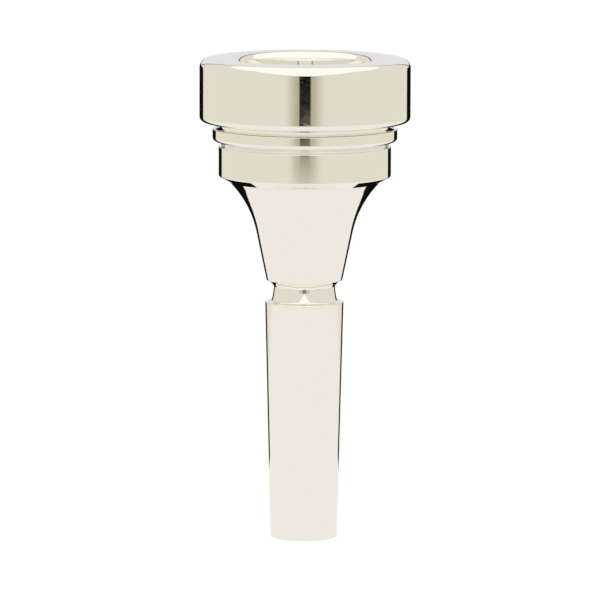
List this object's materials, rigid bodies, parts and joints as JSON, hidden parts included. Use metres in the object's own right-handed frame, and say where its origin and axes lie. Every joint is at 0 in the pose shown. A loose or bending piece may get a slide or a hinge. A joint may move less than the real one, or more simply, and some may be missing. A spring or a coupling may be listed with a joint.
{
  "type": "brass instrument mouthpiece",
  "caption": "Silver-plated cup mouthpiece with a wide rim, a beaded cup, a waisted neck and a tapered shank; the rim and the shank unscrew from the cup.",
  "frame": {"origin": "centre of the open end of the shank's tip, the point the mouthpiece stands on", "axes": "+Z along the air way's axis, from the tip to the rim that the player's lips rest on; X and Y are any pair across it"},
  "size_m": [0.0386, 0.0386, 0.0886],
  "materials": {
    "silver_plate": "silver plate on brass, mirror polished",
    "black_rubber": "matt nitrile rubber"
  },
  "bodies": {
    "shank": {"shank": "silver_plate"},
    "shank_seal": {"shank_o_ring": "black_rubber"},
    "cup": {"cup": "silver_plate"},
    "rim_seal": {"rim_o_ring": "black_rubber"},
    "rim": {"rim": "silver_plate"}
  },
  "joints": [
    {"name": "cup_lift", "type": "slide", "parent": "shank", "child": "shank_seal", "axis": [0, 0, 1], "range_m": [0, 0.0042]},
    {"name": "cup_unscrew", "type": "hinge", "parent": "shank_seal", "child": "cup", "pos_m": [0, 0, 0.0465], "axis": [0, 0, 1], "range_deg": [0, 1980]},
    {"name": "rim_lift", "type": "slide", "parent": "cup", "child": "rim_seal", "axis": [0, 0, 1], "range_m": [0, 0.0036]},
    {"name": "rim_unscrew", "type": "hinge", "parent": "rim_seal", "child": "rim", "pos_m": [0, 0, 0.0766], "axis": [0, 0, 1], "range_deg": [0, 1710]}
  ],
  "couplings": [
    {"joint": "cup_lift", "follows": "cup_unscrew", "m_per_rad": 0.00011937},
    {"joint": "rim_lift", "follows": "rim_unscrew", "m_per_rad": 0.00011937}
  ]
}
